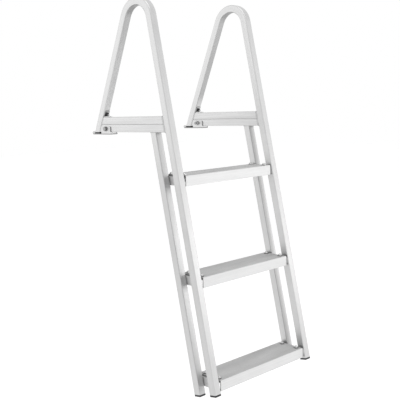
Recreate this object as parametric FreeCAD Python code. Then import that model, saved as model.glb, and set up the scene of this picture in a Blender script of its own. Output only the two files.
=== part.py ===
import FreeCAD, Part
import math
import os

# Boarding ladder that hangs from the edge of a dock, in millimetres.
# X runs from the left side frame to the right one, Y from the water to the dock, Z up.
# The origin is on the left dock plate's underside, in the middle plane of the side frame.

# Square tube of the handrails and rear rails
tube_size = 25.0
tube_wall = 2.0
tube_corner = 3.0

# Side frame
side_spacing = 436.0
rail_lean = 11.5
leg_lean = 23.5
rail_pitch = 68.5
bend_radius = 64.0

# Side bar, one extrusion as tall as two tubes
bar_height = 50.0
bar_reach = 340.0
bar_wall = 2.0
bar_corner = 1.5

# Treads
tread_pitch = 305.0
tread_drop = 133.0
tread_height = 32.0
tread_wall = 2.5
tread_lip = 2.0
tread_flange = 9.0
tread_web_offset = 6.0
tread_web_depth = 16.0
tread_web_wall = 2.0
tread_nose_radius = 2.0
mat_gap = 0.4

# Angle cleat at each tread end
cleat_thickness = 3.0
cleat_reach = 34.0
cleat_height = 27.0
cleat_inset = 6.5
tread_end_gap = 3.5

# Bolts through each tread end, closed by a washer and a domed cap nut on the deck
tread_bolt_radius = 3.0
tread_bolt_inset = 18.0
tread_bolt_edge = 18.0
tread_head_flats = 10.0
tread_head_height = 4.0
tread_washer_radius = 8.0
cap_nut_flats = 12.0
cap_nut_height = 4.5
cap_dome_rise = 4.0

# Feet
foot_drop = 37.0
rear_foot_extra = 5.0
foot_flange = 6.0
foot_round = 1.5
foot_plug = 16.0
foot_plug_wall = 2.4
plug_gap = 0.25

# Dock bracket: plate with two ears, its rear end bent up behind the leg
plate_front = 46.0
plate_rear = 50.0
plate_thickness = 3.0
plate_bend = 2.4
lip_angle = 55.0
lip_length = 8.0
lip_bend = 1.5
lip_corner = 5.0
leg_offset = 19.0
leg_cap_height = 5.0
ear_length = 48.0
ear_margin = 8.0
ear_gap = 0.5
ear_corner = 5.0
dock_hole_radius = 3.3
dock_hole_front = 12.0
dock_hole_spacing = 45.0
packer_inset = 1.5
packer_hole_radius = 7.0

# Bolt through the ears and the bar
pin_rise = 11.0
pin_radius = 4.0
pin_flats = 13.0
pin_head_height = 5.3
pin_nut_height = 7.5
pin_collar_height = 2.0
pin_collar_radius = 5.5
pin_thread_end = 4.0
pin_washer_radius = 7.5

# Corner cleat and its bolt, in the corner of the back leg and the bar
corner_width = 18.0
corner_length = 24.0
corner_thickness = 2.5
corner_bolt_radius = 3.0
corner_bolt_height = 11.0
corner_head_flats = 10.0
corner_head_height = 4.0
corner_nut_radius = 5.7
corner_nut_height = 6.0
corner_nut_round = 1.5
corner_thread_end = 4.0

# Clearances and washers shared by all fasteners
hole_gap = 0.25
thread_gap = 0.05
washer_thickness = 1.5
nut_chamfer = 0.25

# Smallest inside corner of an extrusion, and a length beyond every piece
least_corner = 0.5
far = 2000.0

x_axis = FreeCAD.Vector(1, 0, 0)
y_axis = FreeCAD.Vector(0, 1, 0)
z_axis = FreeCAD.Vector(0, 0, 1)


def vec(x, y, z):
    return FreeCAD.Vector(x, y, z)


# Directions and stations that the pieces share
lean = math.radians(rail_lean)
back_lean = math.radians(leg_lean)
rail_up = vec(0, math.sin(lean), math.cos(lean))
rail_across = vec(0, math.cos(lean), -math.sin(lean))
leg_up = vec(0, -math.sin(back_lean), math.cos(back_lean))
leg_across = vec(0, math.cos(back_lean), math.sin(back_lean))
half_tube = tube_size / 2
inner_size = tube_size - 2 * tube_wall
bar_bottom = plate_thickness + leg_cap_height
bar_middle = bar_bottom + bar_height / 2
bar_top = bar_bottom + bar_height
leg_point = vec(0, leg_offset, bar_middle)
rail_point = vec(0, leg_offset - bar_reach, bar_middle)
tread_tops = [bar_bottom - tread_drop - level * tread_pitch for level in range(3)]
tread_names = ["top", "middle", "bottom"]
tread_depth = rail_pitch + tube_size / math.cos(lean)
tread_x = half_tube + cleat_thickness + tread_end_gap
tread_length = side_spacing - 2 * tread_x
rear_across = rail_pitch * math.cos(lean)
pin_y = -plate_front + ear_length / 2
pin_z = bar_bottom + pin_rise
ear_height = pin_z + ear_margin
ear_inner = half_tube + ear_gap
ear_outer = ear_inner + plate_thickness


def rail_y(z):
    # Centre line of the front rail at height z
    return rail_point.y + (z - rail_point.z) * math.tan(lean)


def along(point, direction, distance):
    return point + direction * distance


def rounded_outline(width, height, radius):
    # Closed wire in the XY plane, centred, with round corners
    a = width / 2
    b = height / 2
    k = radius * math.sqrt(0.5)
    edges = []
    for turn in range(4):
        if turn % 2 == 0:
            p, q = a, b
        else:
            p, q = b, a
        corner = vec(p - radius, q - radius, 0)
        start = corner + vec(radius, 0, 0)
        end = corner + vec(0, radius, 0)
        arc = Part.Arc(start, corner + vec(k, k, 0), end).toShape()
        line = Part.makeLine(end, vec(-p + radius, q, 0))
        for edge in (arc, line):
            edge.rotate(vec(0, 0, 0), z_axis, 90 * turn)
            edges.append(edge)
    return Part.Wire(Part.__sortEdges__(edges))


def tube_face(size, wall, corner):
    outer = Part.Face(rounded_outline(size, size, corner))
    hole = size - 2 * wall
    inner = Part.Face(rounded_outline(hole, hole, max(corner - wall, least_corner)))
    return outer.cut(inner)


def face_square_to(face, point, direction):
    # Turns a face in the XY plane square to a direction in the YZ plane, and puts it at a point
    angle = -math.degrees(math.atan2(direction.y, direction.z))
    placed = face.copy()
    placed.rotate(vec(0, 0, 0), x_axis, angle)
    placed.translate(point)
    return placed


def prism(outline, point, direction, length):
    return face_square_to(Part.Face(outline), point, direction).extrude(direction * length)


def block_beyond(point, normal, size=far):
    # Cube on the far side of the plane through a point, used to trim ends
    block = Part.makeBox(size, size, size, vec(-size / 2, -size / 2, 0))
    block.Placement = FreeCAD.Placement(point, FreeCAD.Rotation(z_axis, normal)).multiply(block.Placement)
    return block


def cylinder(radius, height, point, direction):
    return Part.makeCylinder(radius, height, point, direction)


def hexagon(flats, height, point, direction):
    # Hexagonal head or nut with its corners turned down on the outer face
    radius = flats / math.sqrt(3)
    corners = [vec(radius * math.cos(math.radians(60 * i)), radius * math.sin(math.radians(60 * i)), 0)
               for i in range(7)]
    body = Part.Face(Part.makePolygon(corners)).extrude(vec(0, 0, height))
    face_radius = flats / 2 - nut_chamfer
    crown = Part.makeCone(face_radius + height, face_radius, height)
    body = body.common(crown)
    body.Placement = FreeCAD.Placement(point, FreeCAD.Rotation(z_axis, direction))
    return body


def join(shapes):
    whole = shapes[0].multiFuse(shapes[1:]) if len(shapes) > 1 else shapes[0]
    return whole.removeSplitter()


def front_foot_centre():
    # Middle of the front rail's lower end
    z = tread_tops[-1] - foot_drop
    return vec(0, rail_y(z), z)


def rear_foot_centre():
    # Middle of the rear rail's lower end, a little below the front one's square plane
    level = along(front_foot_centre(), rail_across, rear_across)
    return along(level, rail_up, -rear_foot_extra)


def handrail():
    # One tube: front rail, round bend at the top, back leg down to the dock plate
    spread = (lean + back_lean) / 2
    apex_rise = bar_reach / (math.tan(lean) + math.tan(back_lean))
    apex = vec(0, rail_y(bar_middle + apex_rise), bar_middle + apex_rise)
    straight = bend_radius / math.tan(spread)
    bend_start = along(apex, rail_up, -straight)
    bend_centre = along(bend_start, rail_across, bend_radius)
    bend_end = along(apex, leg_up, -straight)
    section = tube_face(tube_size, tube_wall, tube_corner)
    ring = face_square_to(section, bend_start, rail_up)
    foot = front_foot_centre()
    front = ring.extrude(foot - bend_start)
    turn = 180 - rail_lean - leg_lean
    bend = ring.revolve(bend_centre, x_axis, -turn)
    leg_ring = face_square_to(section, bend_end, leg_up)
    leg = leg_ring.extrude(leg_up * -far / 2)
    leg = leg.cut(block_beyond(vec(0, 0, bar_bottom), z_axis * -1))
    rail = join([front, bend, leg])
    return rail.cut(corner_bolt_hole())


def rear_rail():
    # Straight tube from the rear foot up to the underside of the bar
    section = tube_face(tube_size, tube_wall, tube_corner)
    tube = face_square_to(section, rear_foot_centre(), rail_up).extrude(rail_up * far)
    return tube.cut(block_beyond(vec(0, 0, bar_bottom), z_axis))


def bar_outline(height_share, inset):
    # Outline of the bar seen along Y; a round-cornered half on each side of the middle groove
    size = tube_size - 2 * inset
    corner = max(bar_corner - inset, least_corner)
    half = bar_height / 2
    wire = rounded_outline(size, half - 2 * inset, corner)
    face = Part.Face(wire)
    face.rotate(vec(0, 0, 0), x_axis, 90)
    face.translate(vec(0, 0, bar_middle + height_share * half / 2))
    return face


def side_bar():
    # Double hollow extrusion, its ends cut to the slope of the rail and of the leg
    start = vec(0, rail_point.y - tube_size, 0)
    length = y_axis * (bar_reach + 2 * tube_size)
    halves = []
    for share in (-1, 1):
        ring = bar_outline(share, 0).cut(bar_outline(share, bar_wall))
        ring.translate(start)
        halves.append(ring.extrude(length))
    web = Part.makeBox(tube_size - 2 * bar_corner, bar_reach + 2 * tube_size, 2 * bar_wall,
                       vec(-half_tube + bar_corner, start.y, bar_middle - bar_wall))
    bar = join(halves + [web])
    bar = bar.cut(block_beyond(along(rail_point, rail_across, half_tube), rail_across * -1))
    bar = bar.cut(block_beyond(along(leg_point, leg_across, -half_tube), leg_across))
    hole = cylinder(pin_radius + hole_gap, far, vec(-far / 2, pin_y, pin_z), x_axis)
    return bar.cut(hole)


def bracket_tongue():
    # Plate behind the ears, with its end bent up and its corners rounded
    width = 2 * ear_inner
    start = ear_length - plate_front
    flat = Part.makeBox(width, plate_rear - start, plate_thickness, vec(-ear_inner, start, 0))
    end_face = Part.Face(Part.makePolygon([vec(-ear_inner, plate_rear, 0),
                                           vec(ear_inner, plate_rear, 0),
                                           vec(ear_inner, plate_rear, plate_thickness),
                                           vec(-ear_inner, plate_rear, plate_thickness),
                                           vec(-ear_inner, plate_rear, 0)]))
    centre = vec(0, plate_rear, plate_thickness + lip_bend)
    bend = end_face.revolve(centre, x_axis, lip_angle)
    lip_face = end_face.copy()
    lip_face.rotate(centre, x_axis, lip_angle)
    slope = math.radians(lip_angle)
    outward = vec(0, math.cos(slope), math.sin(slope))
    lip = lip_face.extrude(outward * lip_length)
    edge_of_lip = along(centre, outward, lip_length)
    corners = [edge for edge in lip.Edges
               if edge.BoundBox.XLength < 0.01
               and all((v.Point - edge_of_lip).dot(outward) > -0.01 for v in edge.Vertexes)]
    return [flat, bend, lip.makeFillet(lip_corner, corners)]


def dock_bracket():
    # Flat plate for the dock with an ear bent up on each side of the bar
    plate = Part.makeBox(2 * ear_outer, ear_length, plate_thickness, vec(-ear_outer, -plate_front, 0))
    ears = []
    for side in (-1, 1):
        x = -ear_outer if side < 0 else ear_inner
        ear = Part.makeBox(plate_thickness, ear_length, ear_height, vec(x, -plate_front, 0))
        upper = [edge for edge in ear.Edges
                 if abs(edge.BoundBox.ZMin - ear_height) < 0.01
                 and edge.BoundBox.XLength > plate_thickness / 2]
        ears.append(ear.makeFillet(ear_corner, upper))
    body = join([plate] + ears)
    bends = [edge for edge in body.Edges
             if abs(edge.BoundBox.ZMax) < 0.01 and edge.BoundBox.YLength > ear_length - 0.01
             and abs(abs(edge.BoundBox.XMin) - ear_outer) < 0.01]
    body = join([body.makeFillet(plate_bend, bends)] + bracket_tongue())
    for y in dock_hole_stations():
        body = body.cut(cylinder(dock_hole_radius, far, vec(0, y, -far / 2), z_axis))
    return body.cut(cylinder(pin_radius + hole_gap, far, vec(-far / 2, pin_y, pin_z), x_axis))


def dock_hole_stations():
    first = -plate_front + dock_hole_front
    return [first, first + dock_hole_spacing]


def bar_packer():
    # Flat block on which the bar bears, open over the front dock hole
    length = ear_length - 2 * packer_inset
    front = packer_inset - plate_front
    block = Part.makeBox(tube_size, length, leg_cap_height, vec(-half_tube, front, plate_thickness))
    opening = vec(0, dock_hole_stations()[0], 0)
    return block.cut(cylinder(packer_hole_radius, far, opening, z_axis))


def bracket_bolt():
    # Hexagon bolt with its head on the outer face
    outside = -ear_outer - washer_thickness
    head = hexagon(pin_flats, pin_head_height, vec(outside, pin_y, pin_z), x_axis * -1)
    washer = cylinder(pin_washer_radius, washer_thickness, vec(outside, pin_y, pin_z), x_axis)
    reach = 2 * ear_outer + 2 * washer_thickness + pin_nut_height + pin_thread_end
    shank = cylinder(pin_radius, reach, vec(outside, pin_y, pin_z), x_axis)
    return join([head, washer, shank])


def bracket_nut():
    # Lock nut and washer on the inner face
    washer = cylinder(pin_washer_radius, washer_thickness, vec(ear_outer, pin_y, pin_z), x_axis)
    start = ear_outer + washer_thickness
    nut = hexagon(pin_flats, pin_nut_height - pin_collar_height, vec(start, pin_y, pin_z), x_axis)
    collar = cylinder(pin_collar_radius, pin_nut_height, vec(start, pin_y, pin_z), x_axis)
    bore = cylinder(pin_radius + thread_gap, far, vec(0, pin_y, pin_z), x_axis)
    return join([washer, nut, collar]).cut(bore)


def leg_cap():
    # Black cap between the back leg and the dock plate
    foot = along(leg_point, leg_up, (bar_bottom - bar_middle) / math.cos(back_lean))
    below = along(foot, leg_up, -tube_size * 2)
    outline = rounded_outline(tube_size, tube_size, tube_corner)
    flange = prism(outline, below, leg_up, tube_size * 4)
    flange = flange.cut(block_beyond(vec(0, 0, bar_bottom), z_axis))
    flange = flange.cut(block_beyond(vec(0, 0, plate_thickness), z_axis * -1))
    size = inner_size - 2 * plug_gap
    plug_outline = rounded_outline(size, size, tube_corner / 2)
    plug = prism(plug_outline, below, leg_up, tube_size * 2 + foot_plug)
    plug = plug.cut(block_beyond(vec(0, 0, bar_bottom), z_axis * -1))
    return join([flange, plug])


def foot_cap(centre):
    # Black end cap: flange as wide as the tube, hollow plug inside it
    down = rail_up * -1
    flange = prism(rounded_outline(tube_size, tube_size, tube_corner), centre, down, foot_flange)
    rim = [edge for edge in flange.Edges
           if all(abs((v.Point - centre).dot(down) - foot_flange) < 0.01 for v in edge.Vertexes)]
    flange = flange.makeFillet(foot_round, rim)
    size = inner_size - 2 * plug_gap
    plug = prism(rounded_outline(size, size, tube_corner / 2), centre, rail_up, foot_plug)
    hollow = size - 2 * foot_plug_wall
    core = prism(rounded_outline(hollow, hollow, tube_corner / 3), centre, rail_up, foot_plug)
    return join([flange, plug.cut(core)])


def tread_front(top):
    # Front face of the front rail at the tread's top
    return rail_y(top) - half_tube / math.cos(lean)


def bolt_stations(top):
    # Places of the two bolts at one tread end, from the left side frame
    front = tread_front(top)
    x = half_tube + tread_bolt_inset
    return [vec(x, front + tread_bolt_edge, 0), vec(x, front + tread_depth - tread_bolt_edge, 0)]


def bolt_hole(point, top):
    # Clearance hole down through the deck and the cleat
    return cylinder(tread_bolt_radius + hole_gap, far, vec(point.x, point.y, top - far / 2), z_axis)


def both_ends(points):
    # The same places at the left and the right end of a tread
    mirrored = [vec(side_spacing - p.x, p.y, p.z) for p in points]
    return points + mirrored


def tread(top):
    # Extruded step: lipped top plate, front and rear skirts with feet, two webs under the middle
    front = tread_front(top)
    deck = top - tread_lip
    outer = Part.makeBox(tread_length, tread_depth, tread_height, vec(tread_x, front, top - tread_height))
    nose = [edge for edge in outer.Edges
            if abs(edge.BoundBox.ZMin - top) < 0.01 and edge.BoundBox.XLength > tread_length - 0.01]
    outer = outer.makeFillet(tread_nose_radius, nose)
    recess = Part.makeBox(tread_length, tread_depth - 2 * tread_wall, tread_lip,
                          vec(tread_x, front + tread_wall, deck))
    inside_top = deck - tread_wall
    floor = top - tread_height
    inside = Part.makeBox(tread_length, tread_depth - 2 * tread_wall, inside_top - floor - tread_wall,
                          vec(tread_x, front + tread_wall, floor + tread_wall))
    mouth = Part.makeBox(tread_length, tread_depth - 2 * tread_wall - 2 * tread_flange, tread_wall,
                         vec(tread_x, front + tread_wall + tread_flange, floor))
    body = outer.cut(recess).cut(inside).cut(mouth)
    webs = []
    for side in (-1, 1):
        y = front + tread_depth / 2 + side * tread_web_offset - tread_web_wall / 2
        webs.append(Part.makeBox(tread_length, tread_web_wall, tread_web_depth,
                                 vec(tread_x, y, inside_top - tread_web_depth)))
    body = join([body] + webs)
    for point in both_ends(bolt_stations(top)):
        body = body.cut(bolt_hole(point, top))
    return body


def mat(top):
    # Non-slip mat in the recess of the tread, open round the washers
    front = tread_front(top)
    inset = tread_wall + mat_gap
    sheet = Part.makeBox(tread_length - 2 * mat_gap, tread_depth - 2 * inset, tread_lip,
                         vec(tread_x + mat_gap, front + inset, top - tread_lip))
    for point in both_ends(bolt_stations(top)):
        place = vec(point.x, point.y, top - far / 2)
        sheet = sheet.cut(cylinder(tread_washer_radius + mat_gap, far, place, z_axis))
    return sheet


def tread_cleat(top):
    # Angle at a tread end: upright against the rails, shelf under the deck, notched round the webs
    front = tread_front(top)
    deck_under = top - tread_lip - tread_wall
    depth = tread_depth - 2 * cleat_inset
    y = front + cleat_inset
    upright = Part.makeBox(cleat_thickness, depth, cleat_height, vec(half_tube, y, deck_under - cleat_height))
    shelf = Part.makeBox(cleat_reach, depth, cleat_thickness, vec(half_tube, y, deck_under - cleat_thickness))
    notch_half = tread_web_offset + tread_web_wall
    notch = Part.makeBox(cleat_reach, 2 * notch_half, cleat_thickness,
                         vec(half_tube + cleat_thickness, front + tread_depth / 2 - notch_half,
                             deck_under - cleat_thickness))
    body = join([upright, shelf]).cut(notch)
    for point in bolt_stations(top):
        body = body.cut(bolt_hole(point, top))
    return body


def tread_bolt(point, top):
    # Bolt up through cleat and deck, closed by a washer and a domed cap nut
    deck = vec(point.x, point.y, top - tread_lip)
    under = along(deck, z_axis, -tread_wall - cleat_thickness)
    head = hexagon(tread_head_flats, tread_head_height, under, z_axis * -1)
    washer = cylinder(tread_washer_radius, washer_thickness, deck, z_axis)
    seat = along(deck, z_axis, washer_thickness)
    shank = cylinder(tread_bolt_radius, seat.z - under.z, under, z_axis)
    nut = hexagon(cap_nut_flats, cap_nut_height, seat, z_axis)
    shoulder = along(seat, z_axis, cap_nut_height)
    base_radius = cap_nut_flats / 2 - nut_chamfer
    dome_radius = (base_radius ** 2 + cap_dome_rise ** 2) / (2 * cap_dome_rise)
    dome = Part.makeSphere(dome_radius, along(shoulder, z_axis, cap_dome_rise - dome_radius))
    dome = dome.cut(block_beyond(shoulder, z_axis * -1))
    return join([head, shank, washer, nut, dome])


def corner_frame():
    # Point on the leg's front face at the height of the corner bolt, and the way the bolt points
    seat = along(leg_point, leg_across, -half_tube)
    rise = (bar_top + corner_bolt_height - seat.z) / leg_up.z
    return along(seat, leg_up, rise), leg_across * -1


def corner_bolt_hole():
    point, forward = corner_frame()
    start = along(point, forward, -tube_size - corner_length)
    return cylinder(corner_bolt_radius + hole_gap, tube_size + 2 * corner_length, start, forward)


def corner_cleat():
    # Bent strip in the corner between the back leg and the top of the bar
    point, forward = corner_frame()
    corner = along(leg_point, leg_across, -half_tube)
    rise = (bar_top - corner.z) / leg_up.z
    corner = along(corner, leg_up, rise)
    up_length = 2 * corner_bolt_height / math.cos(back_lean)
    wedge = math.radians(90 - leg_lean)
    miter = corner_thickness / math.tan(wedge / 2)
    forward_flat = y_axis * -1
    outline = [corner,
               along(corner, leg_up, up_length),
               along(along(corner, leg_up, up_length), forward, corner_thickness),
               along(along(corner, leg_up, miter), forward, corner_thickness),
               along(along(corner, forward_flat, corner_length), z_axis, corner_thickness),
               along(corner, forward_flat, corner_length),
               corner]
    face = Part.Face(Part.makePolygon(outline))
    face.translate(vec(-corner_width / 2, 0, 0))
    strip = face.extrude(x_axis * corner_width)
    return strip.cut(corner_bolt_hole())


def corner_bolt():
    # Bolt through the back leg, head behind it, thread end showing in front of the nut
    point, forward = corner_frame()
    rear = along(point, forward, -tube_size)
    head = hexagon(corner_head_flats, corner_head_height, rear, forward * -1)
    reach = tube_size + corner_thickness + corner_nut_height + corner_thread_end
    shank = cylinder(corner_bolt_radius, reach, rear, forward)
    return join([head, shank])


def corner_nut():
    # Black round lock nut on the corner cleat
    point, forward = corner_frame()
    seat = along(point, forward, corner_thickness)
    body = cylinder(corner_nut_radius, corner_nut_height, seat, forward)
    top = [edge for edge in body.Edges
           if all((v.Point - seat).dot(forward) > corner_nut_height - 0.01 for v in edge.Vertexes)]
    body = body.makeFillet(corner_nut_round, top[:1])
    bore = cylinder(corner_bolt_radius + thread_gap, corner_nut_height, seat, forward)
    return body.cut(bore)


def on_side(shape, side):
    # A left piece as it is, or its mirror image on the right side frame
    if side == "left":
        return shape
    mirrored = shape.mirror(vec(0, 0, 0), x_axis)
    mirrored.translate(vec(side_spacing, 0, 0))
    return mirrored


def save(name, shape):
    shape.exportStep("parts/" + name + ".step")
    print(name, "solids", len(shape.Solids), "valid", shape.isValid(), "volume", round(shape.Volume))


def build():
    os.makedirs("parts", exist_ok=True)
    one_side = {
        "handrail": handrail(),
        "rear_rail": rear_rail(),
        "side_bar": side_bar(),
        "dock_bracket": dock_bracket(),
        "bar_packer": bar_packer(),
        "bracket_bolt": bracket_bolt(),
        "bracket_nut": bracket_nut(),
        "leg_cap": leg_cap(),
        "front_foot": foot_cap(front_foot_centre()),
        "rear_foot": foot_cap(rear_foot_centre()),
        "corner_cleat": corner_cleat(),
        "corner_bolt": corner_bolt(),
        "corner_nut": corner_nut(),
        "tread_bolts": Part.makeCompound([tread_bolt(point, top)
                                          for top in tread_tops for point in bolt_stations(top)]),
    }
    for name, top in zip(tread_names, tread_tops):
        one_side[name + "_cleat"] = tread_cleat(top)
    for side in ("left", "right"):
        for name, shape in one_side.items():
            save(side + "_" + name, on_side(shape, side))
    for name, top in zip(tread_names, tread_tops):
        save(name + "_tread", tread(top))
        save(name + "_mat", mat(top))


build()
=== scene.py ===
import math

import bmesh
import bpy
from mathutils import Matrix, Vector


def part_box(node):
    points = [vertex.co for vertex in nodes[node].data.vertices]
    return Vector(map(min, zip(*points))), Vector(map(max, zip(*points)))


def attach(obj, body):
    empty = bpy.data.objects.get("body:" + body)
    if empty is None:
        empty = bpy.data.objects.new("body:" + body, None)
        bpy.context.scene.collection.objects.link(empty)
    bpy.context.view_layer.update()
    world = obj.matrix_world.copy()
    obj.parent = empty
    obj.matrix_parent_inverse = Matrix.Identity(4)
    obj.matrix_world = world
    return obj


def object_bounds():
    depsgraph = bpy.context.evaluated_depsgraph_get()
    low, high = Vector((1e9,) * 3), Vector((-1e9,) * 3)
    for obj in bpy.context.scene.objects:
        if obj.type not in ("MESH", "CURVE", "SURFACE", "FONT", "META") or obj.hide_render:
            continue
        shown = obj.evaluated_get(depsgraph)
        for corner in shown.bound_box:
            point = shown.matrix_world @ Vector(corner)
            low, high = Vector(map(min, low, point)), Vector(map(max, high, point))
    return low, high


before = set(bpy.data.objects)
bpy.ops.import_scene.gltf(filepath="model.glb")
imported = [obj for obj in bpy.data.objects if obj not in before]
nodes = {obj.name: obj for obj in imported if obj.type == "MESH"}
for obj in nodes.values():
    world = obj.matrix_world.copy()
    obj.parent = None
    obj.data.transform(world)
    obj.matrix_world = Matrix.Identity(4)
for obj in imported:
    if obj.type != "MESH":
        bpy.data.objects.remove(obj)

cadBox = [list(corner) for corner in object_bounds()]
boxMiddle = (Vector(cadBox[0]) + Vector(cadBox[1])) / 2
mm = 0.001
mergeReach = 0.001 * mm  # points nearer than this become one
sides = ("left", "right")
levels = ("top", "middle", "bottom")
white = (1.0, 1.0, 1.0, 1.0)
noiseEdges = (0.3, 0.7)  # where the values of a noise texture mostly lie
maskEdges = (0.0, 1.0)


def linear(hexColour):
    # sRGB hex to linear RGBA
    parts = [int(hexColour[i:i + 2], 16) / 255 for i in (1, 3, 5)]
    return tuple(p / 12.92 if p <= 0.04045 else ((p + 0.055) / 1.055) ** 2.4 for p in parts) + (1.0,)


def addNode(tree, kind, settings=None, **links):
    # One shader node: settings are its properties and input values, links feed its inputs.
    # A link is named after its input, with _ for a space, or is _ and the input's number.
    node = tree.nodes.new(kind)
    for name, value in (settings or {}).items():
        if isinstance(name, int) or name in node.inputs:
            node.inputs[name].default_value = value
        else:
            setattr(node, name, value)
    for name, source in links.items():
        target = node.inputs[int(name[1:])] if name[0] == "_" else node.inputs[name.replace("_", " ")]
        tree.links.new(source, target)
    return node


def newMaterial(name):
    material = bpy.data.materials.new(name)
    material.use_nodes = True
    tree = material.node_tree
    coords = addNode(tree, "ShaderNodeTexCoord").outputs["Object"]
    return material, tree, tree.nodes["Principled BSDF"], coords


def multiplied(tree, layers):
    # Product of layers (pattern, low, high, edges), each bringing its pattern's edges to low and high.
    # Low may be a pattern too.
    total = None
    for pattern, low, high, edges in layers:
        layer = addNode(tree, "ShaderNodeMapRange", {"From Min": edges[0], "From Max": edges[1], "To Max": high},
                        Value=pattern)
        if isinstance(low, bpy.types.NodeSocket):
            tree.links.new(low, layer.inputs["To Min"])
        else:
            layer.inputs["To Min"].default_value = low
        if total is None:
            total = layer.outputs[0]
        else:
            total = addNode(tree, "ShaderNodeMath", {"operation": "MULTIPLY"},
                            _0=total, _1=layer.outputs[0]).outputs[0]
    return total


def paint(tree, shader, colour, layers):
    # Base colour, made darker or paler by its layers
    mixed = addNode(tree, "ShaderNodeMix", {"data_type": "RGBA", "blend_type": "MULTIPLY", 0: 1.0,
                                            6: linear(colour)}, _7=multiplied(tree, layers))
    tree.links.new(mixed.outputs[2], shader.inputs["Base Color"])


def dress(names, material):
    for name in names:
        slots = nodes[name].data.materials
        slots.clear()
        slots.append(material)


def bothSides(*names):
    return [side + "_" + name for side in sides for name in names]


print("frame loaded,", len(nodes), "nodes")

# The ladder's own measures, in millimetres and degrees, as the frame has them
ladder = {"spacing": 436.0, "tube": 25.0, "railLean": 11.5, "legLean": 23.5, "railPitch": 68.5,
          "barLow": 8.0, "barMiddle": 33.0, "barHigh": 58.0, "railPlace": -321.0, "legPlace": 19.0,
          "bendCentre": (0.0, -190.4, 354.0)}
railLean = math.radians(ladder["railLean"])
legLean = math.radians(ladder["legLean"])
railUp = Vector((0, math.sin(railLean), math.cos(railLean)))
legUp = Vector((0, -math.sin(legLean), math.cos(legLean)))
halfTube = ladder["tube"] / 2
railHalf = halfTube / math.cos(railLean)  # half of the rail's depth where it is cut level
legHalf = halfTube / math.cos(legLean)


def placed(x, y, z, side):
    # A point of the left side frame in metres, or its mirror image on the right one
    return Vector((x if side == "left" else ladder["spacing"] - x, y, z)) * mm


def railPlace(z):
    # Middle of the front rail at height z
    return ladder["railPlace"] + (z - ladder["barMiddle"]) * math.tan(railLean)


def legPlace(z):
    # Middle of the back leg at height z
    return ladder["legPlace"] - (z - ladder["barMiddle"]) * math.tan(legLean)


# What all the extrusions share, sizes in mm.
# Real die lines are about 0.2 mm wide: these are coarser, so that they show.
satin = {"lineWidth": 0.9, "lineStretch": 0.01, "lineBump": 0.04, "bumpDepth": 0.1, "lineRough": (0.86, 1.2),
         "bandWidth": 4.0, "bandPalest": 1.02,
         "cloudSize": 70.0, "cloudTone": (0.96, 1.02), "cloudRough": (0.92, 1.12)}


def straightGrain(tree, coords, turn):
    # Coordinates whose third axis runs along a straight piece, drawn out so that a noise becomes lines
    turned = addNode(tree, "ShaderNodeMapping", {"Rotation": turn, "vector_type": "TEXTURE"}, Vector=coords)
    return addNode(tree, "ShaderNodeMapping", {"Scale": (1.0, 1.0, satin["lineStretch"])},
                   Vector=turned.outputs[0]).outputs[0]


def bentGrain(tree, coords):
    # Distance from the bend's centre line, straight below the bend and round in it, so lines follow the tube
    centre = Vector(ladder["bendCentre"]) * mm
    offset = addNode(tree, "ShaderNodeVectorMath", {"operation": "SUBTRACT", 1: centre}, _0=coords).outputs[0]
    arms = []
    for up in (railUp, legUp):
        along = addNode(tree, "ShaderNodeVectorMath", {"operation": "DOT_PRODUCT", 1: up}, _0=offset)
        below = addNode(tree, "ShaderNodeMath", {"operation": "MINIMUM", 1: 0.0}, _0=along.outputs["Value"])
        shift = addNode(tree, "ShaderNodeVectorMath", {"operation": "SCALE", 0: up}, Scale=below.outputs[0])
        arms.append(addNode(tree, "ShaderNodeVectorMath", {"operation": "SUBTRACT"},
                            _0=offset, _1=shift.outputs[0]).outputs[0])
    split = addNode(tree, "ShaderNodeSeparateXYZ", Vector=offset)
    rear = addNode(tree, "ShaderNodeMath", {"operation": "GREATER_THAN", 1: 0.0}, _0=split.outputs[1])
    arm = addNode(tree, "ShaderNodeMix", {"data_type": "VECTOR"}, _0=rear.outputs[0], _4=arms[0], _5=arms[1])
    flat = addNode(tree, "ShaderNodeVectorMath", {"operation": "MULTIPLY", 1: (0.0, 1.0, 1.0)},
                   _0=arm.outputs[1])
    distance = addNode(tree, "ShaderNodeVectorMath", {"operation": "LENGTH"}, _0=flat.outputs[0])
    return addNode(tree, "ShaderNodeCombineXYZ", X=split.outputs[0], Y=distance.outputs["Value"]).outputs[0]


# Painted shade and light, and on the side bar weld soot, that change a colour. Each function returns layers for
# multiplied and takes its lengths in mm.
# A painted shade fades over these parts of the normal: the upward part (underside, bend) or the rearward (front,
# edge).
facing = {"underside": (-0.38, -0.25), "bend": (-0.9, -0.45), "front": (-0.95, -0.3), "edge": -0.62,
          "edgeReach": 0.3}


def cornerShade(tree, reach, darkest, edges=(0.15, 0.85)):
    # Painted shade: darker within reach of a neighbour, in corners and gaps
    near = addNode(tree, "ShaderNodeAmbientOcclusion", {"samples": 8, "Distance": reach * mm})
    return [(near.outputs["AO"], darkest, 1.0, edges)]


def paintedEndShade(tree, coords, place, reach, darkest):
    # Painted shade on the cut end that faces the side frame, place being its distance from the tread's middle
    across = addNode(tree, "ShaderNodeSeparateXYZ", Vector=coords).outputs[0]
    offset = addNode(tree, "ShaderNodeMath", {"operation": "SUBTRACT", 1: ladder["spacing"] / 2 * mm}, _0=across)
    distance = addNode(tree, "ShaderNodeMath", {"operation": "ABSOLUTE"}, _0=offset.outputs[0])
    atEnd = addNode(tree, "ShaderNodeMath", {"operation": "COMPARE", 1: place * mm, 2: reach * mm},
                    _0=distance.outputs[0])
    return [(atEnd.outputs[0], 1.0, darkest, maskEdges)]


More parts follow.
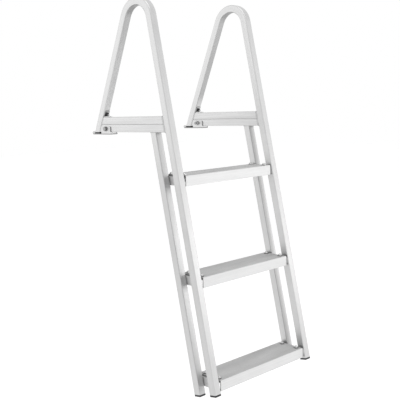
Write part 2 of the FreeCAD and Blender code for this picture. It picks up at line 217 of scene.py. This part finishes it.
def paintedUndersideShade(tree, coords, heights, low, high, bend):
    # Painted shade and light where the tube faces down, from low to high between two heights, and painted shade,
    # darker by bend, inside the bend
    normal = addNode(tree, "ShaderNodeNewGeometry").outputs["Normal"]
    upward = addNode(tree, "ShaderNodeSeparateXYZ", Vector=normal).outputs[2]
    height = addNode(tree, "ShaderNodeSeparateXYZ", Vector=coords).outputs[2]
    straight = multiplied(tree, [(height, low, high, [z * mm for z in heights])])
    return [(upward, straight, 1.0, facing["underside"]), (upward, bend, 1.0, facing["bend"])]


def weldSootAndShade(tree, coords, reach, darkest, smudgeSize):
    # Weld soot and painted shade: grey haze on the side bar, fading out raggedly within reach of the seams at its
    # two ends
    smudge = addNode(tree, "ShaderNodeTexNoise", {"Scale": 1 / (smudgeSize * mm), "Detail": 3.0}, Vector=coords)
    ragged = addNode(tree, "ShaderNodeMath", {"operation": "MULTIPLY_ADD", 1: reach * mm, 2: -reach / 2 * mm},
                     _0=smudge.outputs[0]).outputs[0]
    layers = []
    for slope, seam, towards in ((-math.tan(railLean), railPlace(0) + railHalf, 1),
                                 (math.tan(legLean), legPlace(0) - legHalf, -1)):
        inwards = (0.0, towards, slope * towards)
        along = addNode(tree, "ShaderNodeVectorMath", {"operation": "DOT_PRODUCT", 1: inwards}, _0=coords)
        inside = addNode(tree, "ShaderNodeMath", {"operation": "ADD"}, _0=along.outputs["Value"], _1=ragged)
        start = seam * towards * mm
        layers.append((inside.outputs[0], darkest, 1.0, (start, start + reach * mm)))
    return layers


def paintedShelteredShade(tree, coords, middle, places, low, high, edge):
    # Painted shade on the face that looks at the front rail, from low to high between two places across it,
    # and darker by edge on its rounded edges
    normal = addNode(tree, "ShaderNodeNewGeometry").outputs["Normal"]
    rearward = addNode(tree, "ShaderNodeSeparateXYZ", Vector=normal).outputs[1]
    across = addNode(tree, "ShaderNodeSeparateXYZ", Vector=coords).outputs[0]
    graded = multiplied(tree, [(across, low, high, [(middle + x) * mm for x in places])])
    onEdge = addNode(tree, "ShaderNodeMath", {"operation": "COMPARE", 1: facing["edge"], 2: facing["edgeReach"]},
                     _0=rearward)
    return [(rearward, graded, 1.0, facing["front"]), (onEdge.outputs[0], 1.0, edge, maskEdges)]


def paintedFootShade(tree, coords, heights, darkest):
    # Painted shade at the foot of the plate: darkest below the lower height, fading out by the upper
    height = addNode(tree, "ShaderNodeSeparateXYZ", Vector=coords).outputs[2]
    return [(height, darkest, 1.0, [z * mm for z in heights])]


shadesAndSoot = {"sawn": paintedEndShade, "underside": paintedUndersideShade, "sootAndShade": weldSootAndShade, "sheltered": paintedShelteredShade,
         "footShade": paintedFootShade}


def makeAluminium(name, finish):
    # Satin anodised 6063 extrusion: near white, soft sheen, die lines along its length, slightly cloudy
    material, tree, shader, coords = newMaterial(name)
    shader.inputs["Metallic"].default_value = 1.0
    grain = straightGrain(tree, coords, finish["turn"]) if "turn" in finish else bentGrain(tree, coords)
    lines = addNode(tree, "ShaderNodeTexNoise", {"Scale": 1 / (satin["lineWidth"] * mm), "Detail": 4.0},
                    Vector=grain).outputs[0]
    bands = addNode(tree, "ShaderNodeTexNoise", {"Scale": 1 / (satin["bandWidth"] * mm), "Detail": 2.0},
                    Vector=grain).outputs[0]
    clouds = addNode(tree, "ShaderNodeTexNoise", {"Scale": 1 / (satin["cloudSize"] * mm), "Detail": 3.0},
                     Vector=coords).outputs[0]
    layers = [(bands, finish["bandDarkest"], satin["bandPalest"], noiseEdges),
              (clouds, *satin["cloudTone"], noiseEdges)]
    # Painted shade in corners and gaps, then the finish's other painted shade and light, or weld soot and shade
    if "cornerShade" in finish:
        layers += cornerShade(tree, **finish["cornerShade"])
    for kind, addLayers in shadesAndSoot.items():
        if kind in finish:
            layers += addLayers(tree, coords, **finish[kind])
    paint(tree, shader, finish["colour"], layers)
    lineRough = [value * finish["roughness"] for value in satin["lineRough"]]
    rough = multiplied(tree, [(lines, *lineRough, noiseEdges), (clouds, *satin["cloudRough"], noiseEdges)])
    tree.links.new(rough, shader.inputs["Roughness"])
    bump = addNode(tree, "ShaderNodeBump", {"Strength": satin["lineBump"], "Distance": satin["bumpDepth"] * mm},
                   Height=lines)
    tree.links.new(bump.outputs[0], shader.inputs["Normal"])
    return material


# Finish of each piece. The side frames get painted shade that differs between them: the right one's tubes
# are painted duller, and the left one's darker in their corners and paler low on the handrail's underside.
quarter = math.radians(90)
rail = {"colour": "#cdcdcd", "roughness": 0.36, "bandDarkest": 0.97}
handrail = {
    "left": {**rail, "cornerShade": {"reach": 9.0, "darkest": 0.58},
             "underside": {"heights": (60.0, 330.0), "low": 1.28, "high": 0.75, "bend": 0.74}},
    "right": {**rail, "cornerShade": {"reach": 5.0, "darkest": 0.85},
              "underside": {"heights": (85.0, 125.0), "low": 1.05, "high": 0.76, "bend": 0.74}},
}
shelter = {"places": (-4.0, 9.0), "edge": 0.96}
# Painted shade in the rear rails' corners and gaps
rearRail = {**rail, "turn": (-railLean, 0, 0), "cornerShade": {"reach": 14.0, "darkest": 0.62, "edges": (0.2, 0.9)}}
rearRails = {
    "left": {**rearRail, "sheltered": {**shelter, "middle": 0.0, "low": 0.87, "high": 0.97}},
    "right": {**rearRail, "sheltered": {**shelter, "middle": ladder["spacing"], "low": 0.66, "high": 0.93}},
}
# Weld soot together with painted shade near the side bar's seams
sideBar = {"colour": "#d1d1d1", "roughness": 0.38, "bandDarkest": 0.9, "turn": (quarter, 0, 0),
           "sootAndShade": {"reach": 7.0, "darkest": 0.62, "smudgeSize": 5.556}}
# Painted shade in the bracket's corners and along its foot
dockPlate = {**rail, "turn": (quarter, 0, 0), "cornerShade": {"reach": 6.0, "darkest": 0.5},
             "footShade": {"heights": (1.8, 3.2), "darkest": 0.3}}
# Painted shade in the tread's corners and on its cut ends
tread = {"colour": "#e3e3e3", "roughness": 0.55, "bandDarkest": 0.97, "turn": (0, quarter, 0),
         "cornerShade": {"reach": 12.0, "darkest": 0.64}, "sawn": {"place": 199.0, "reach": 0.3, "darkest": 0.58}}

for side in sides:
    dress([side + "_handrail"], makeAluminium(side + "AnodisedHandrail", handrail[side]))
    dress([side + "_rear_rail"], makeAluminium(side + "AnodisedRearRail", rearRails[side]))
dress(bothSides("side_bar", "bar_packer", "corner_cleat"), makeAluminium("anodisedBar", sideBar))
dress(bothSides("dock_bracket"), makeAluminium("bentPlate", dockPlate))
dress([level + "_tread" for level in levels] + bothSides(*[level + "_cleat" for level in levels]),
      makeAluminium("anodisedTread", tread))

mat = {"colour": "#c7c7c7", "roughness": 0.8, "gritSize": 0.8, "gritTone": (0.9, 1.08), "bump": 0.3,
       "bumpDepth": 0.3, "cloudSize": 45.0, "cloudStretch": 0.25, "cloudTone": (0.86, 1.06),
       "cornerShade": {"reach": 12.0, "darkest": 0.68}, "sawn": {"place": 198.6, "reach": 0.3, "darkest": 0.3}}


def makeMatVinyl():
    # Grey PVC non-slip mat: dull, gritty, worn a little paler where feet go
    material, tree, shader, coords = newMaterial("grittyVinyl")
    shader.inputs["Roughness"].default_value = mat["roughness"]
    grit = addNode(tree, "ShaderNodeTexNoise", {"Scale": 1 / (mat["gritSize"] * mm), "Detail": 3.0},
                   Vector=coords).outputs[0]
    drawn = addNode(tree, "ShaderNodeMapping", {"Scale": (mat["cloudStretch"], 1.0, 1.0)}, Vector=coords)
    clouds = addNode(tree, "ShaderNodeTexNoise", {"Scale": 1 / (mat["cloudSize"] * mm), "Detail": 5.0},
                     Vector=drawn.outputs[0]).outputs[0]
    layers = [(grit, *mat["gritTone"], noiseEdges), (clouds, *mat["cloudTone"], noiseEdges)]
    # Painted shade in the mat's corners and on its cut ends
    layers += cornerShade(tree, **mat["cornerShade"]) + paintedEndShade(tree, coords, **mat["sawn"])
    paint(tree, shader, mat["colour"], layers)
    bump = addNode(tree, "ShaderNodeBump", {"Strength": mat["bump"], "Distance": mat["bumpDepth"] * mm},
                   Height=grit)
    tree.links.new(bump.outputs[0], shader.inputs["Normal"])
    return material


# The grain of a real mould is about 0.1 mm: this one is coarser, so that it shows
cap = {"colour": "#242427", "grainSize": 0.667, "bump": 0.2, "bumpDepth": 0.1, "scuffSize": 8.333,
       "scuffTone": (0.7, 1.2), "scuffRough": (0.42, 0.58)}


def makeCapPlastic():
    # Black moulded polyethylene: dull sheen, faint spark-eroded grain, scuffed a little paler
    material, tree, shader, coords = newMaterial("mouldedPolyethylene")
    grain = addNode(tree, "ShaderNodeTexNoise", {"Scale": 1 / (cap["grainSize"] * mm), "Detail": 2.0},
                    Vector=coords)
    scuffs = addNode(tree, "ShaderNodeTexNoise", {"Scale": 1 / (cap["scuffSize"] * mm), "Detail": 4.0},
                     Vector=coords).outputs[0]
    paint(tree, shader, cap["colour"], [(scuffs, *cap["scuffTone"], noiseEdges)])
    rough = multiplied(tree, [(scuffs, *cap["scuffRough"], noiseEdges)])
    tree.links.new(rough, shader.inputs["Roughness"])
    bump = addNode(tree, "ShaderNodeBump", {"Strength": cap["bump"], "Distance": cap["bumpDepth"] * mm},
                   Height=grain.outputs[0])
    tree.links.new(bump.outputs[0], shader.inputs["Normal"])
    return material


# Real tool marks are about 0.1 mm apart: these are coarser, so that they show
fastener = {"colour": "#c4c4c4", "darkerColour": "#969696", "markSize": 0.8333, "markTone": (0.92, 1.05),
            "markRough": (0.18, 0.28), "bump": 0.1, "bumpDepth": 0.05, "cornerShade": {"reach": 5.0, "darkest": 0.32}}


def makeStainless(name, colour):
    # Cold-formed A4 stainless steel: hard sheen, fine tool marks, painted shade in its corners
    material, tree, shader, coords = newMaterial(name)
    shader.inputs["Metallic"].default_value = 1.0
    marks = addNode(tree, "ShaderNodeTexNoise", {"Scale": 1 / (fastener["markSize"] * mm), "Detail": 2.0},
                    Vector=coords).outputs[0]
    paint(tree, shader, colour,
          [(marks, *fastener["markTone"], noiseEdges)] + cornerShade(tree, **fastener["cornerShade"]))
    rough = multiplied(tree, [(marks, *fastener["markRough"], noiseEdges)])
    tree.links.new(rough, shader.inputs["Roughness"])
    bump = addNode(tree, "ShaderNodeBump",
                   {"Strength": fastener["bump"], "Distance": fastener["bumpDepth"] * mm}, Height=marks)
    tree.links.new(bump.outputs[0], shader.inputs["Normal"])
    return material


matVinyl = makeMatVinyl()
steel = makeStainless("stainlessSteel", fastener["colour"])
dress([level + "_mat" for level in levels], matVinyl)
dress(bothSides("leg_cap", "front_foot", "rear_foot", "corner_nut"), makeCapPlastic())
dress(bothSides("bracket_nut", "corner_bolt", "tread_bolts"), steel)
# The bracket bolts get a darker copy of the steel
dress(bothSides("bracket_bolt"), makeStainless("darkerSteel", fastener["darkerColour"]))
print("materials made")


def finishPiece(form, name, material):
    bmesh.ops.recalc_face_normals(form, faces=form.faces)
    mesh = bpy.data.meshes.new(name)
    form.to_mesh(mesh)
    form.free()
    mesh.materials.append(material)
    piece = bpy.data.objects.new(name, mesh)
    bpy.context.scene.collection.objects.link(piece)
    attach(piece, "root")


def addTo(form, piece):
    # Moves one shape's faces into another
    mesh = bpy.data.meshes.new("moved")
    piece.to_mesh(mesh)
    piece.free()
    form.from_mesh(mesh)
    bpy.data.meshes.remove(mesh)


def stand(form, start, direction):
    # Turns a shape that was made upright at the origin and puts it in its place
    turn = direction.to_track_quat("Z", "Y").to_matrix().to_4x4()
    bmesh.ops.transform(form, matrix=Matrix.Translation(start) @ turn, verts=form.verts)


# Sizes in mm. The frosting of a real bead is finer: it is drawn coarser, so that it shows.
# A seam stops short of the end of its joint, by this much more beside a rail under the treads.
weld = {"colour": "#c8c8c8", "roughness": 0.42, "frostSize": 0.7, "frostTone": (0.85, 1.05), "bump": 0.2,
        "bumpDepth": 0.2, "cornerShade": {"reach": 5.0, "darkest": 0.45},
        "radius": 1.9, "pitch": 1.7, "ripple": 0.2, "segments": 10, "ringsPerRipple": 4, "fewestRings": 4,
        "flushProud": 0.6, "drawnIn": 0.5, "lift": 0.3,
        "short": 1.0, "shortBesideRail": 3.0, "shortAtCleatEnd": 4.0}


def makeWeldMetal():
    # TIG bead in aluminium: bright silver, frosted, with painted shade along its edges
    material, tree, shader, coords = newMaterial("weldMetal")
    shader.inputs["Metallic"].default_value = 1.0
    shader.inputs["Roughness"].default_value = weld["roughness"]
    frost = addNode(tree, "ShaderNodeTexNoise", {"Scale": 1 / (weld["frostSize"] * mm), "Detail": 3.0},
                    Vector=coords).outputs[0]
    paint(tree, shader, weld["colour"], [(frost, *weld["frostTone"], noiseEdges)] + cornerShade(tree, **weld["cornerShade"]))
    bump = addNode(tree, "ShaderNodeBump", {"Strength": weld["bump"], "Distance": weld["bumpDepth"] * mm},
                   Height=frost)
    tree.links.new(bump.outputs[0], shader.inputs["Normal"])
    return material


def addBead(form, start, end):
    # One run of weld: a rod with a row of rounded ripples, drawn in at its ends
    length = (end - start).length
    pitch = weld["pitch"] * mm
    rings = max(weld["fewestRings"], round(length / pitch * weld["ringsPerRipple"]))
    run = bmesh.new()
    bmesh.ops.create_cone(run, cap_ends=True, segments=weld["segments"], radius1=weld["radius"] * mm,
                          radius2=weld["radius"] * mm, depth=length)
    lengthwise = [edge for edge in run.edges if abs(edge.verts[0].co.z - edge.verts[1].co.z) > length / 2]
    bmesh.ops.subdivide_edges(run, edges=lengthwise, cuts=rings - 1)
    for vert in run.verts:
        toEnd = length / 2 - abs(vert.co.z)
        swell = 1 + weld["ripple"] * (abs(math.sin(math.pi * (vert.co.z + length / 2) / pitch)) - 0.5)
        drawn = min(1.0, weld["drawnIn"] + toEnd / pitch)
        vert.co.x *= swell * drawn
        vert.co.y *= swell * drawn
    stand(run, (start + end) / 2, end - start)
    addTo(form, run)


def makeBarWelds(side):
    # Seams where the side bar meets the front rail, the back leg and the top of the rear rail
    form = bmesh.new()
    low, high = ladder["barLow"], ladder["barHigh"]
    short, lift = weld["short"], weld["lift"]
    flush = halfTube - weld["radius"] + weld["flushProud"]
    across = halfTube - short
    rear = railPlace(low) + ladder["railPitch"]
    for x in (-flush, flush):
        addBead(form, placed(x, railPlace(low) + railHalf, low + short, side),
                placed(x, railPlace(high) + railHalf, high - short, side))
        addBead(form, placed(x, legPlace(low) - legHalf, low + short, side),
                placed(x, legPlace(high) - legHalf, high - short, side))
        addBead(form, placed(x, rear - railHalf + short, low, side), placed(x, rear + railHalf - short, low, side))
    for y, z in ((railPlace(low) + railHalf + lift, low - lift), (railPlace(high) + railHalf + lift, high + lift),
                 (rear - railHalf - lift, low - lift), (rear + railHalf + lift, low - lift)):
        addBead(form, placed(-across, y, z, side), placed(across, y, z, side))
    return form


def makeCleatWelds(side):
    # Short seams under each tread's cleat where it crosses the two rails
    form = bmesh.new()
    x = halfTube + weld["lift"]
    beside = halfTube - weld["shortBesideRail"]
    for level in levels:
        low, high = [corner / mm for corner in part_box(side + "_" + level + "_cleat")]
        middle = railPlace(low.z)
        for start, end in ((low.y + weld["short"], middle + beside),
                           (middle + ladder["railPitch"] - beside, high.y - weld["shortAtCleatEnd"])):
            addBead(form, placed(x, start, low.z, side), placed(x, end, low.z, side))
    return form


weldMetal = makeWeldMetal()
for side in sides:
    finishPiece(makeBarWelds(side), side + "_bar_welds", weldMetal)
    finishPiece(makeCleatWelds(side), side + "_cleat_welds", weldMetal)
print("welds made")

# Sizes in mm. The tread's edges lie margin outside the mat's, and its bolts stand boltEdge inside them.
# A rib within washerReach of the bolts starts at washerEnd from the side frame's middle.
rib = {"pitch": 4.2, "width": 2.4, "height": 0.7, "sunk": 0.1, "topWidth": 0.6, "endInset": 1.0,
       "margin": 2.9, "boltEdge": 18.0, "washerReach": 9.6, "washerEnd": 41.0}


def makeMatRibs(level):
    # Low ribs along the mat, those in line with a bolt stopping short of its washer
    form = bmesh.new()
    low, high = [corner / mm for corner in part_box(level + "_mat")]
    pitch = rib["pitch"]
    count = int((high.y - low.y - pitch / 2) / pitch)
    first = (low.y + high.y - (count - 1) * pitch) / 2
    boltRows = (low.y - rib["margin"] + rib["boltEdge"], high.y + rib["margin"] - rib["boltEdge"])
    for row in range(count):
        y = first + row * pitch
        nearBolt = min(abs(y - boltRow) for boltRow in boltRows) < rib["washerReach"]
        end = rib["washerEnd"] if nearBolt else low.x + rib["endInset"]
        verts = bmesh.ops.create_cube(form, size=mm)["verts"]
        bmesh.ops.scale(form, vec=(ladder["spacing"] - 2 * end, rib["width"], rib["height"]), verts=verts)
        bmesh.ops.scale(form, vec=(1.0, rib["topWidth"], 1.0), verts=[vert for vert in verts if vert.co.z > 0])
        place = Vector((ladder["spacing"] / 2, y, high.z + rib["height"] / 2 - rib["sunk"])) * mm
        bmesh.ops.translate(form, vec=place, verts=verts)
    return form


for level in levels:
    finishPiece(makeMatRibs(level), level + "_mat_ribs", matVinyl)
print("mat ribs made")

# Sizes in mm. A turn's crest lies between these parts of its pitch, and its foot ends at the last one.
thread = {"crest": 0.32, "sunk": 0.4, "crestFrom": 0.4, "crestTo": 0.55, "footEnd": 0.95, "turnSteps": 20}
boltEnds = {
    "bracket_thread": {"radius": 4.0, "length": 3.4, "pitch": 1.25},
    "corner_thread": {"radius": 3.0, "length": 3.4, "pitch": 1.0},
}
bracketBolt = {"place": (25.0, -22.0, 19.0)}
cornerBolt = {"height": 11.0, "toThread": 8.5}  # above the side bar, and out from the back leg's front face


def makeThread(name, start, direction):
    # A ridge wound round the bolt's end
    values = boltEnds[name]
    form = bmesh.new()
    pitch = values["pitch"]
    turns = (values["length"] - pitch) / pitch
    steps = round(thread["turnSteps"] * turns)
    inner, crest = values["radius"] - thread["sunk"], values["radius"] + thread["crest"]
    points = ((inner, 0, 0), (crest, 0, thread["crestFrom"] * pitch), (crest, 0, thread["crestTo"] * pitch),
              (inner, 0, thread["footEnd"] * pitch))
    outline = [form.verts.new(Vector(point) * mm) for point in points]
    profile = form.faces.new(outline)
    bmesh.ops.spin(form, geom=[profile] + list(profile.edges) + outline, cent=(0, 0, 0), axis=(0, 0, 1),
                   dvec=(0, 0, pitch * turns / steps * mm), angle=2 * math.pi * turns, steps=steps)
    bmesh.ops.remove_doubles(form, verts=form.verts, dist=mergeReach)
    stand(form, start, direction)
    return form


def cornerThreadStart(side):
    # In front of the corner nut, square to the back leg's front face
    z = ladder["barHigh"] + cornerBolt["height"]
    y = legPlace(z) - legHalf
    reach = cornerBolt["toThread"]
    forward = Vector((0, -math.cos(legLean), -math.sin(legLean)))
    return placed(0, y + forward.y * reach, z + forward.z * reach, side), forward


insert = {"colour": "#c9cdd0", "roughness": 0.4, "cloudSize": 1.111, "cloudTone": (0.9, 1.05),
          "inner": 4.1, "outer": 5.2, "depth": 1.0, "rim": 0.1, "proud": 0.35, "segments": 32}


def makeNutInsert(start, direction):
    # Nylon ring in the end of the lock nut
    form = bmesh.new()
    inner, outer, depth, rim = insert["inner"], insert["outer"], insert["depth"], insert["rim"]
    points = ((inner, 0, -depth), (inner, 0, rim), ((inner + outer) / 2, 0, insert["proud"]),
              (outer, 0, rim), (outer, 0, -depth))
    outline = [form.verts.new(Vector(point) * mm) for point in points]
    profile = form.faces.new(outline)
    bmesh.ops.spin(form, geom=list(profile.edges) + outline, cent=(0, 0, 0), axis=(0, 0, 1), dvec=(0, 0, 0),
                   angle=2 * math.pi, steps=insert["segments"], use_merge=True)
    bmesh.ops.delete(form, geom=[profile], context="FACES_ONLY")
    bmesh.ops.remove_doubles(form, verts=form.verts, dist=mergeReach)
    stand(form, start, direction)
    return form


def makeNylon():
    # Undyed nylon, milky and slightly waxy
    material, tree, shader, coords = newMaterial("nylonInsert")
    shader.inputs["Roughness"].default_value = insert["roughness"]
    clouds = addNode(tree, "ShaderNodeTexNoise", {"Scale": 1 / (insert["cloudSize"] * mm), "Detail": 2.0},
                     Vector=coords)
    paint(tree, shader, insert["colour"], [(clouds.outputs[0], *insert["cloudTone"], noiseEdges)])
    return material


nylon = makeNylon()
for side in sides:
    inward = Vector((1, 0, 0)) if side == "left" else Vector((-1, 0, 0))
    start = placed(*bracketBolt["place"], side)
    finishPiece(makeThread("bracket_thread", start, inward), side + "_bracket_thread", steel)
    finishPiece(makeNutInsert(start, inward), side + "_nut_insert", nylon)
    start, forward = cornerThreadStart(side)
    finishPiece(makeThread("corner_thread", start, forward), side + "_corner_thread", steel)
print("threads and inserts made")

# Floor and soft studio light, in metres and watts, the paper's grain and bump in mm
studio = {"floorSize": 30.0, "floorDrop": 0.35, "floorLift": 0.3, "worldLevel": 0.85}
paper = {"colour": "#e8e8e8", "roughness": 0.9, "grainSize": 3.333, "bump": 0.05, "bumpDepth": 0.2}
lamps = {
    "leftLamp": {"place": (-1.5, 1.8, 0.45), "size": (1.6, 1.6), "power": 3.8},
    "frontLamp": {"place": (1.8, -2.15, -0.24), "size": (1.2, 0.85), "power": 3.6},
    "highLamp": {"place": (2.2, -1.85, 0.75), "size": (1.2, 0.8), "power": 1.1},
    "topLamp": {"place": (0.0, -0.8, 2.4), "size": (1.6, 1.6), "power": 12.0},
}


def isSeen(tree):
    # 1 where the ray comes from the camera, a mirror-like surface or through glass
    path = addNode(tree, "ShaderNodeLightPath")
    glossy = addNode(tree, "ShaderNodeMath", {"operation": "MAXIMUM"}, _0=path.outputs["Is Camera Ray"],
                     _1=path.outputs["Is Glossy Ray"])
    seen = addNode(tree, "ShaderNodeMath", {"operation": "MAXIMUM"}, _0=glossy.outputs[0],
                   _1=path.outputs["Is Transmission Ray"])
    return seen.outputs[0]


def makePaper():
    # Matt white paper sweep, lifted to white where it is seen, so that only the shadow shows
    material, tree, shader, coords = newMaterial("paperSweep")
    shader.inputs["Base Color"].default_value = linear(paper["colour"])
    shader.inputs["Roughness"].default_value = paper["roughness"]
    shader.inputs["Emission Color"].default_value = white
    lift = addNode(tree, "ShaderNodeMath", {"operation": "MULTIPLY", 1: studio["floorLift"]}, _0=isSeen(tree))
    tree.links.new(lift.outputs[0], shader.inputs["Emission Strength"])
    grain = addNode(tree, "ShaderNodeTexNoise", {"Scale": 1 / (paper["grainSize"] * mm), "Detail": 3.0},
                    Vector=coords)
    bump = addNode(tree, "ShaderNodeBump", {"Strength": paper["bump"], "Distance": paper["bumpDepth"] * mm},
                   Height=grain.outputs[0])
    tree.links.new(bump.outputs[0], shader.inputs["Normal"])
    return material


def makeStage():
    # A wide floor, a little below the ladder's feet
    form = bmesh.new()
    bmesh.ops.create_grid(form, x_segments=1, y_segments=1, size=studio["floorSize"] / 2)
    bmesh.ops.translate(form, verts=form.verts,
                        vec=(boxMiddle.x, boxMiddle.y, cadBox[0][2] - studio["floorDrop"]))
    mesh = bpy.data.meshes.new("floor")
    form.to_mesh(mesh)
    form.free()
    floor = bpy.data.objects.new("floor", mesh)
    bpy.context.scene.collection.objects.link(floor)
    mesh.materials.append(makePaper())


def makeWorld():
    # White where it is seen, and a little lower as light on the ladder
    world = bpy.data.worlds.new("studio")
    bpy.context.scene.world = world
    world.use_nodes = True
    tree = world.node_tree
    background = tree.nodes["Background"]
    background.inputs["Color"].default_value = white
    level = addNode(tree, "ShaderNodeMapRange", {"To Min": studio["worldLevel"], "To Max": 1.0}, Value=isSeen(tree))
    tree.links.new(level.outputs[0], background.inputs["Strength"])


def makeLamp(name):
    # A soft box that looks at the ladder's middle
    values = lamps[name]
    lamp = bpy.data.lights.new(name, "AREA")
    lamp.shape = "RECTANGLE"
    lamp.size, lamp.size_y = values["size"]
    lamp.energy = values["power"]
    holder = bpy.data.objects.new(name, lamp)
    holder.location = values["place"]
    holder.rotation_euler = (boxMiddle - holder.location).to_track_quat("-Z", "Y").to_euler()
    bpy.context.scene.collection.objects.link(holder)


# Camera at the photograph's view, in degrees and mm, fitted to the edges of the rails and treads
view = {"azimuth": 38.611, "tilt": 6.084, "roll": -2.223, "place": (-1436.6, -1867.9, 92.4), "lens": 62.1,
        "sensor": 36.0, "shift": (0.2, -0.05)}


def makeCamera():
    turn = math.radians(view["azimuth"])
    tilt = math.radians(view["tilt"])
    roll = math.radians(view["roll"])
    look = Vector((math.sin(turn) * math.cos(tilt), math.cos(turn) * math.cos(tilt), -math.sin(tilt)))
    right = look.cross(Vector((0, 0, 1))).normalized()
    up = right.cross(look)
    rolledRight = right * math.cos(roll) + up * math.sin(roll)
    rolledUp = up * math.cos(roll) - right * math.sin(roll)
    lens = bpy.data.cameras.new("camera")
    lens.sensor_width = view["sensor"]
    lens.lens = view["lens"]
    lens.shift_x, lens.shift_y = view["shift"]
    holder = bpy.data.objects.new("camera", lens)
    axes = Matrix((rolledRight, rolledUp, -look)).transposed()
    holder.matrix_world = Matrix.Translation(Vector(view["place"]) * mm) @ axes.to_4x4()
    bpy.context.scene.collection.objects.link(holder)
    bpy.context.scene.camera = holder


makeStage()
makeWorld()
for lampName in lamps:
    makeLamp(lampName)
makeCamera()
bpy.context.scene.view_settings.view_transform = "Standard"
print("stage, light and camera made")
